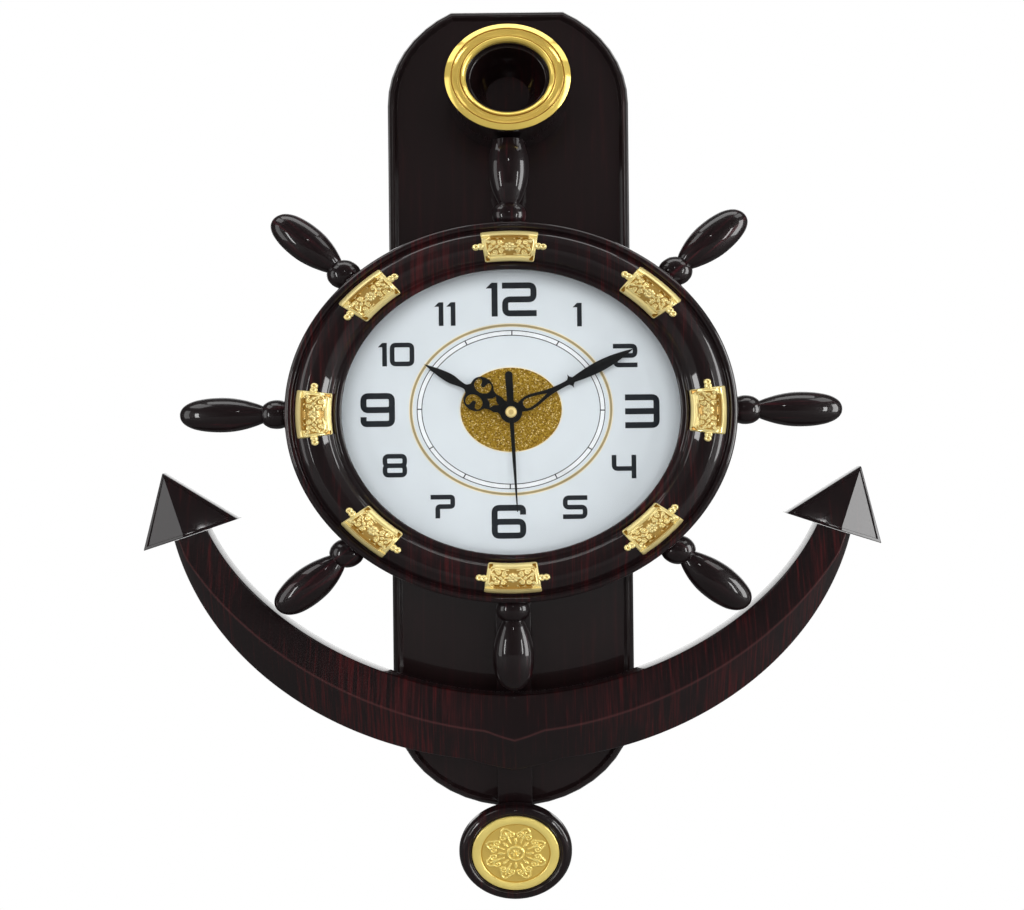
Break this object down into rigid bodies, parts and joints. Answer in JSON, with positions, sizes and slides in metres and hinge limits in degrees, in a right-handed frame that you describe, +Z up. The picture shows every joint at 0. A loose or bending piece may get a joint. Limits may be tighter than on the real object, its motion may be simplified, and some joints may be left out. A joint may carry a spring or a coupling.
{
  "type": "wall clock",
  "caption": "Pendulum wall clock shaped as an anchor and ship's wheel: oval dial and bezel, turned handles, gold trim, ring, flat back board and a disc bob.",
  "frame": {"origin": "the nail that the keyhole plate hangs on, in the plane of the wall, 240 mm above the hands' axis", "axes": "+Z up, -Y out of the wall towards the room, +X to the right as seen from the front"},
  "size_m": [0.4886, 0.0684, 0.6011],
  "materials": {
    "rosewood_gloss": "moulded plastic with a clear-coated dark rosewood print",
    "board_gloss": "fibreboard under a high-gloss near-black lacquer",
    "gold_plating": "vacuum-plated bright yellow gold on plastic",
    "hand_black": "satin black paint on stamped sheet",
    "case_black": "black moulded plastic",
    "gear_white": "natural acetal",
    "steel": "plain steel",
    "brass": "brass",
    "copper_winding": "enamelled copper wire on a bobbin",
    "dial_silver": "silver-white printed dial card",
    "glass": "clear flat pane",
    "battery_wrap": "plain printed wrap on an AA cell",
    "circuit_green": "solder mask"
  },
  "bodies": {
    "clock_frame": {"ring_housing": "rosewood_gloss", "bezel": "rosewood_gloss", "anchor_arms": "rosewood_gloss", "fluke_left": "rosewood_gloss", "fluke_right": "rosewood_gloss", "handle_1": "rosewood_gloss", "handle_2": "rosewood_gloss", "handle_3": "rosewood_gloss", "handle_4": "rosewood_gloss", "handle_5": "rosewood_gloss", "handle_6": "rosewood_gloss", "handle_7": "rosewood_gloss", "handle_8": "rosewood_gloss", "back_board": "board_gloss", "ring_trim": "gold_plating", "trim_plate_1": "gold_plating", "trim_plate_2": "gold_plating", "trim_plate_3": "gold_plating", "trim_plate_4": "gold_plating", "trim_plate_5": "gold_plating", "trim_plate_6": "gold_plating", "trim_plate_7": "gold_plating", "trim_plate_8": "gold_plating", "wheel_case": "case_black", "movement_case": "case_black", "movement_cover": "case_black", "hanger_plate": "steel", "case_screw_1": "steel", "case_screw_2": "steel", "battery_spring": "steel", "battery_contact": "steel", "stator": "steel", "hanger_screw_1": "brass", "hanger_screw_2": "brass", "shaft_nut": "brass", "motor_coil": "copper_winding", "pendulum_coil": "copper_winding", "dial": "dial_silver", "glass": "glass", "battery": "battery_wrap", "circuit_board": "circuit_green"},
    "second": {"second_wheel": "gear_white", "second_hand": "hand_black", "second_hand_cap": "gold_plating"},
    "minute": {"minute_wheel": "gear_white", "minute_hand": "hand_black"},
    "hour": {"hour_wheel": "gear_white", "hour_hand": "hand_black"},
    "motion": {"motion_wheel": "gear_white"},
    "third": {"third_wheel": "gear_white"},
    "step": {"step_wheel": "gear_white"},
    "rotor": {"rotor": "steel"},
    "pendulum": {"pendulum_hanger": "case_black", "pendulum_magnet": "steel", "pendulum_rod": "rosewood_gloss", "bob_housing": "rosewood_gloss", "bob_medallion": "gold_plating"}
  },
  "joints": [
    {"name": "second_hand_turn", "type": "hinge", "parent": "clock_frame", "child": "second", "pos_m": [0, -0.03, -0.24], "axis": [0, 1, 0], "continuous": true},
    {"name": "minute_hand_turn", "type": "hinge", "parent": "clock_frame", "child": "minute", "pos_m": [0, -0.03, -0.24], "axis": [0, 1, 0], "continuous": true},
    {"name": "hour_hand_turn", "type": "hinge", "parent": "clock_frame", "child": "hour", "pos_m": [0, -0.03, -0.24], "axis": [0, 1, 0], "continuous": true},
    {"name": "set_knob_turn", "type": "hinge", "parent": "clock_frame", "child": "motion", "pos_m": [0, -0.03, -0.23], "axis": [0, 1, 0], "continuous": true},
    {"name": "third_wheel_turn", "type": "hinge", "parent": "clock_frame", "child": "third", "pos_m": [-0.0099, -0.03, -0.24], "axis": [0, 1, 0], "continuous": true},
    {"name": "step_wheel_turn", "type": "hinge", "parent": "clock_frame", "child": "step", "pos_m": [0.0102, -0.03, -0.24], "axis": [0, 1, 0], "continuous": true},
    {"name": "rotor_turn", "type": "hinge", "parent": "clock_frame", "child": "rotor", "pos_m": [0.01608, -0.03, -0.24], "axis": [0, 1, 0], "continuous": true},
    {"name": "pendulum_swing", "type": "hinge", "parent": "clock_frame", "child": "pendulum", "pos_m": [0, -0.015, -0.254], "axis": [0, 1, 0], "range_deg": [-8, 8]}
  ],
  "couplings": [
    {"joint": "minute_hand_turn", "follows": "second_hand_turn", "ratio": 0.016667},
    {"joint": "hour_hand_turn", "follows": "second_hand_turn", "ratio": 0.0013889},
    {"joint": "set_knob_turn", "follows": "second_hand_turn", "ratio": -0.0055556},
    {"joint": "third_wheel_turn", "follows": "second_hand_turn", "ratio": -0.13333},
    {"joint": "step_wheel_turn", "follows": "second_hand_turn", "ratio": -5},
    {"joint": "rotor_turn", "follows": "second_hand_turn", "ratio": 30}
  ]
}
